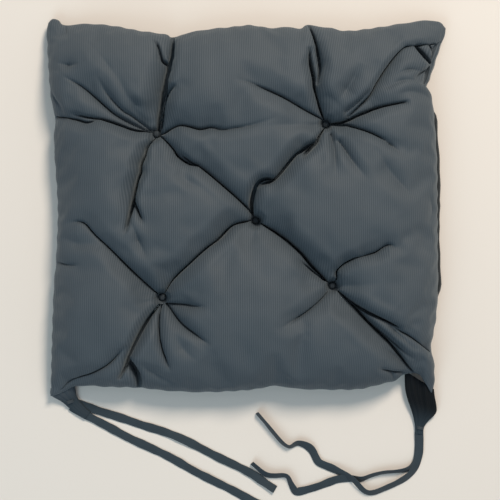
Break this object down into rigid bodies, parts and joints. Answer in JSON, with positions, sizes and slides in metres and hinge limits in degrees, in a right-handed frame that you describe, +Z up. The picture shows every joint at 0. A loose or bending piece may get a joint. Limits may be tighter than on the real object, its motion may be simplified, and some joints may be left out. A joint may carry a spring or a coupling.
{
  "type": "chair seat pad",
  "caption": "Square fibre-filled fabric seat pad with button tufts, creased crown and flat fabric ties at its two rear corners for a chair back.",
  "frame": {"origin": "middle of the pad on its flat underside", "axes": "+Z up through the crown; +Y towards the free front edge; -Y towards the tied rear edge; +X to the right when seen from above with the ties at the bottom"},
  "size_m": [0.403, 0.5045, 0.0577],
  "materials": {
    "cover_top": "woven polyester with a fine rib, slight sheen",
    "cover_underside": "plain woven polyester, matte",
    "tie_tape": "folded and stitched polyester tape, matte",
    "filling": "loose carded polyester fibre",
    "thread": "spun polyester sewing thread",
    "twine": "waxed polyester tufting twine",
    "button": "moulded nylon"
  },
  "bodies": {
    "root": {"back_button_centre": "button", "back_button_front_left": "button", "back_button_front_right": "button", "back_button_rear_left": "button", "back_button_rear_right": "button", "bottom_panel": "cover_underside", "button_core_centre": "button", "button_core_front_left": "button", "button_core_front_right": "button", "button_core_rear_left": "button", "button_core_rear_right": "button", "button_cover_centre": "cover_top", "button_cover_front_left": "cover_top", "button_cover_front_right": "cover_top", "button_cover_rear_left": "cover_top", "button_cover_rear_right": "cover_top", "closing_stitching": "thread", "fibre_filling": "filling", "left_bar_tack": "thread", "left_tie_inner_tail": "tie_tape", "left_tie_outer_tail": "tie_tape", "left_tie_root": "cover_top", "perimeter_stitching": "thread", "right_bar_tack": "thread", "right_tie_lower_tail": "tie_tape", "right_tie_root": "cover_underside", "right_tie_upper_tail": "tie_tape", "top_panel": "cover_top", "tuft_twine_centre": "twine", "tuft_twine_front_left": "twine", "tuft_twine_front_right": "twine", "tuft_twine_rear_left": "twine", "tuft_twine_rear_right": "twine"}
  },
  "joints": []
}
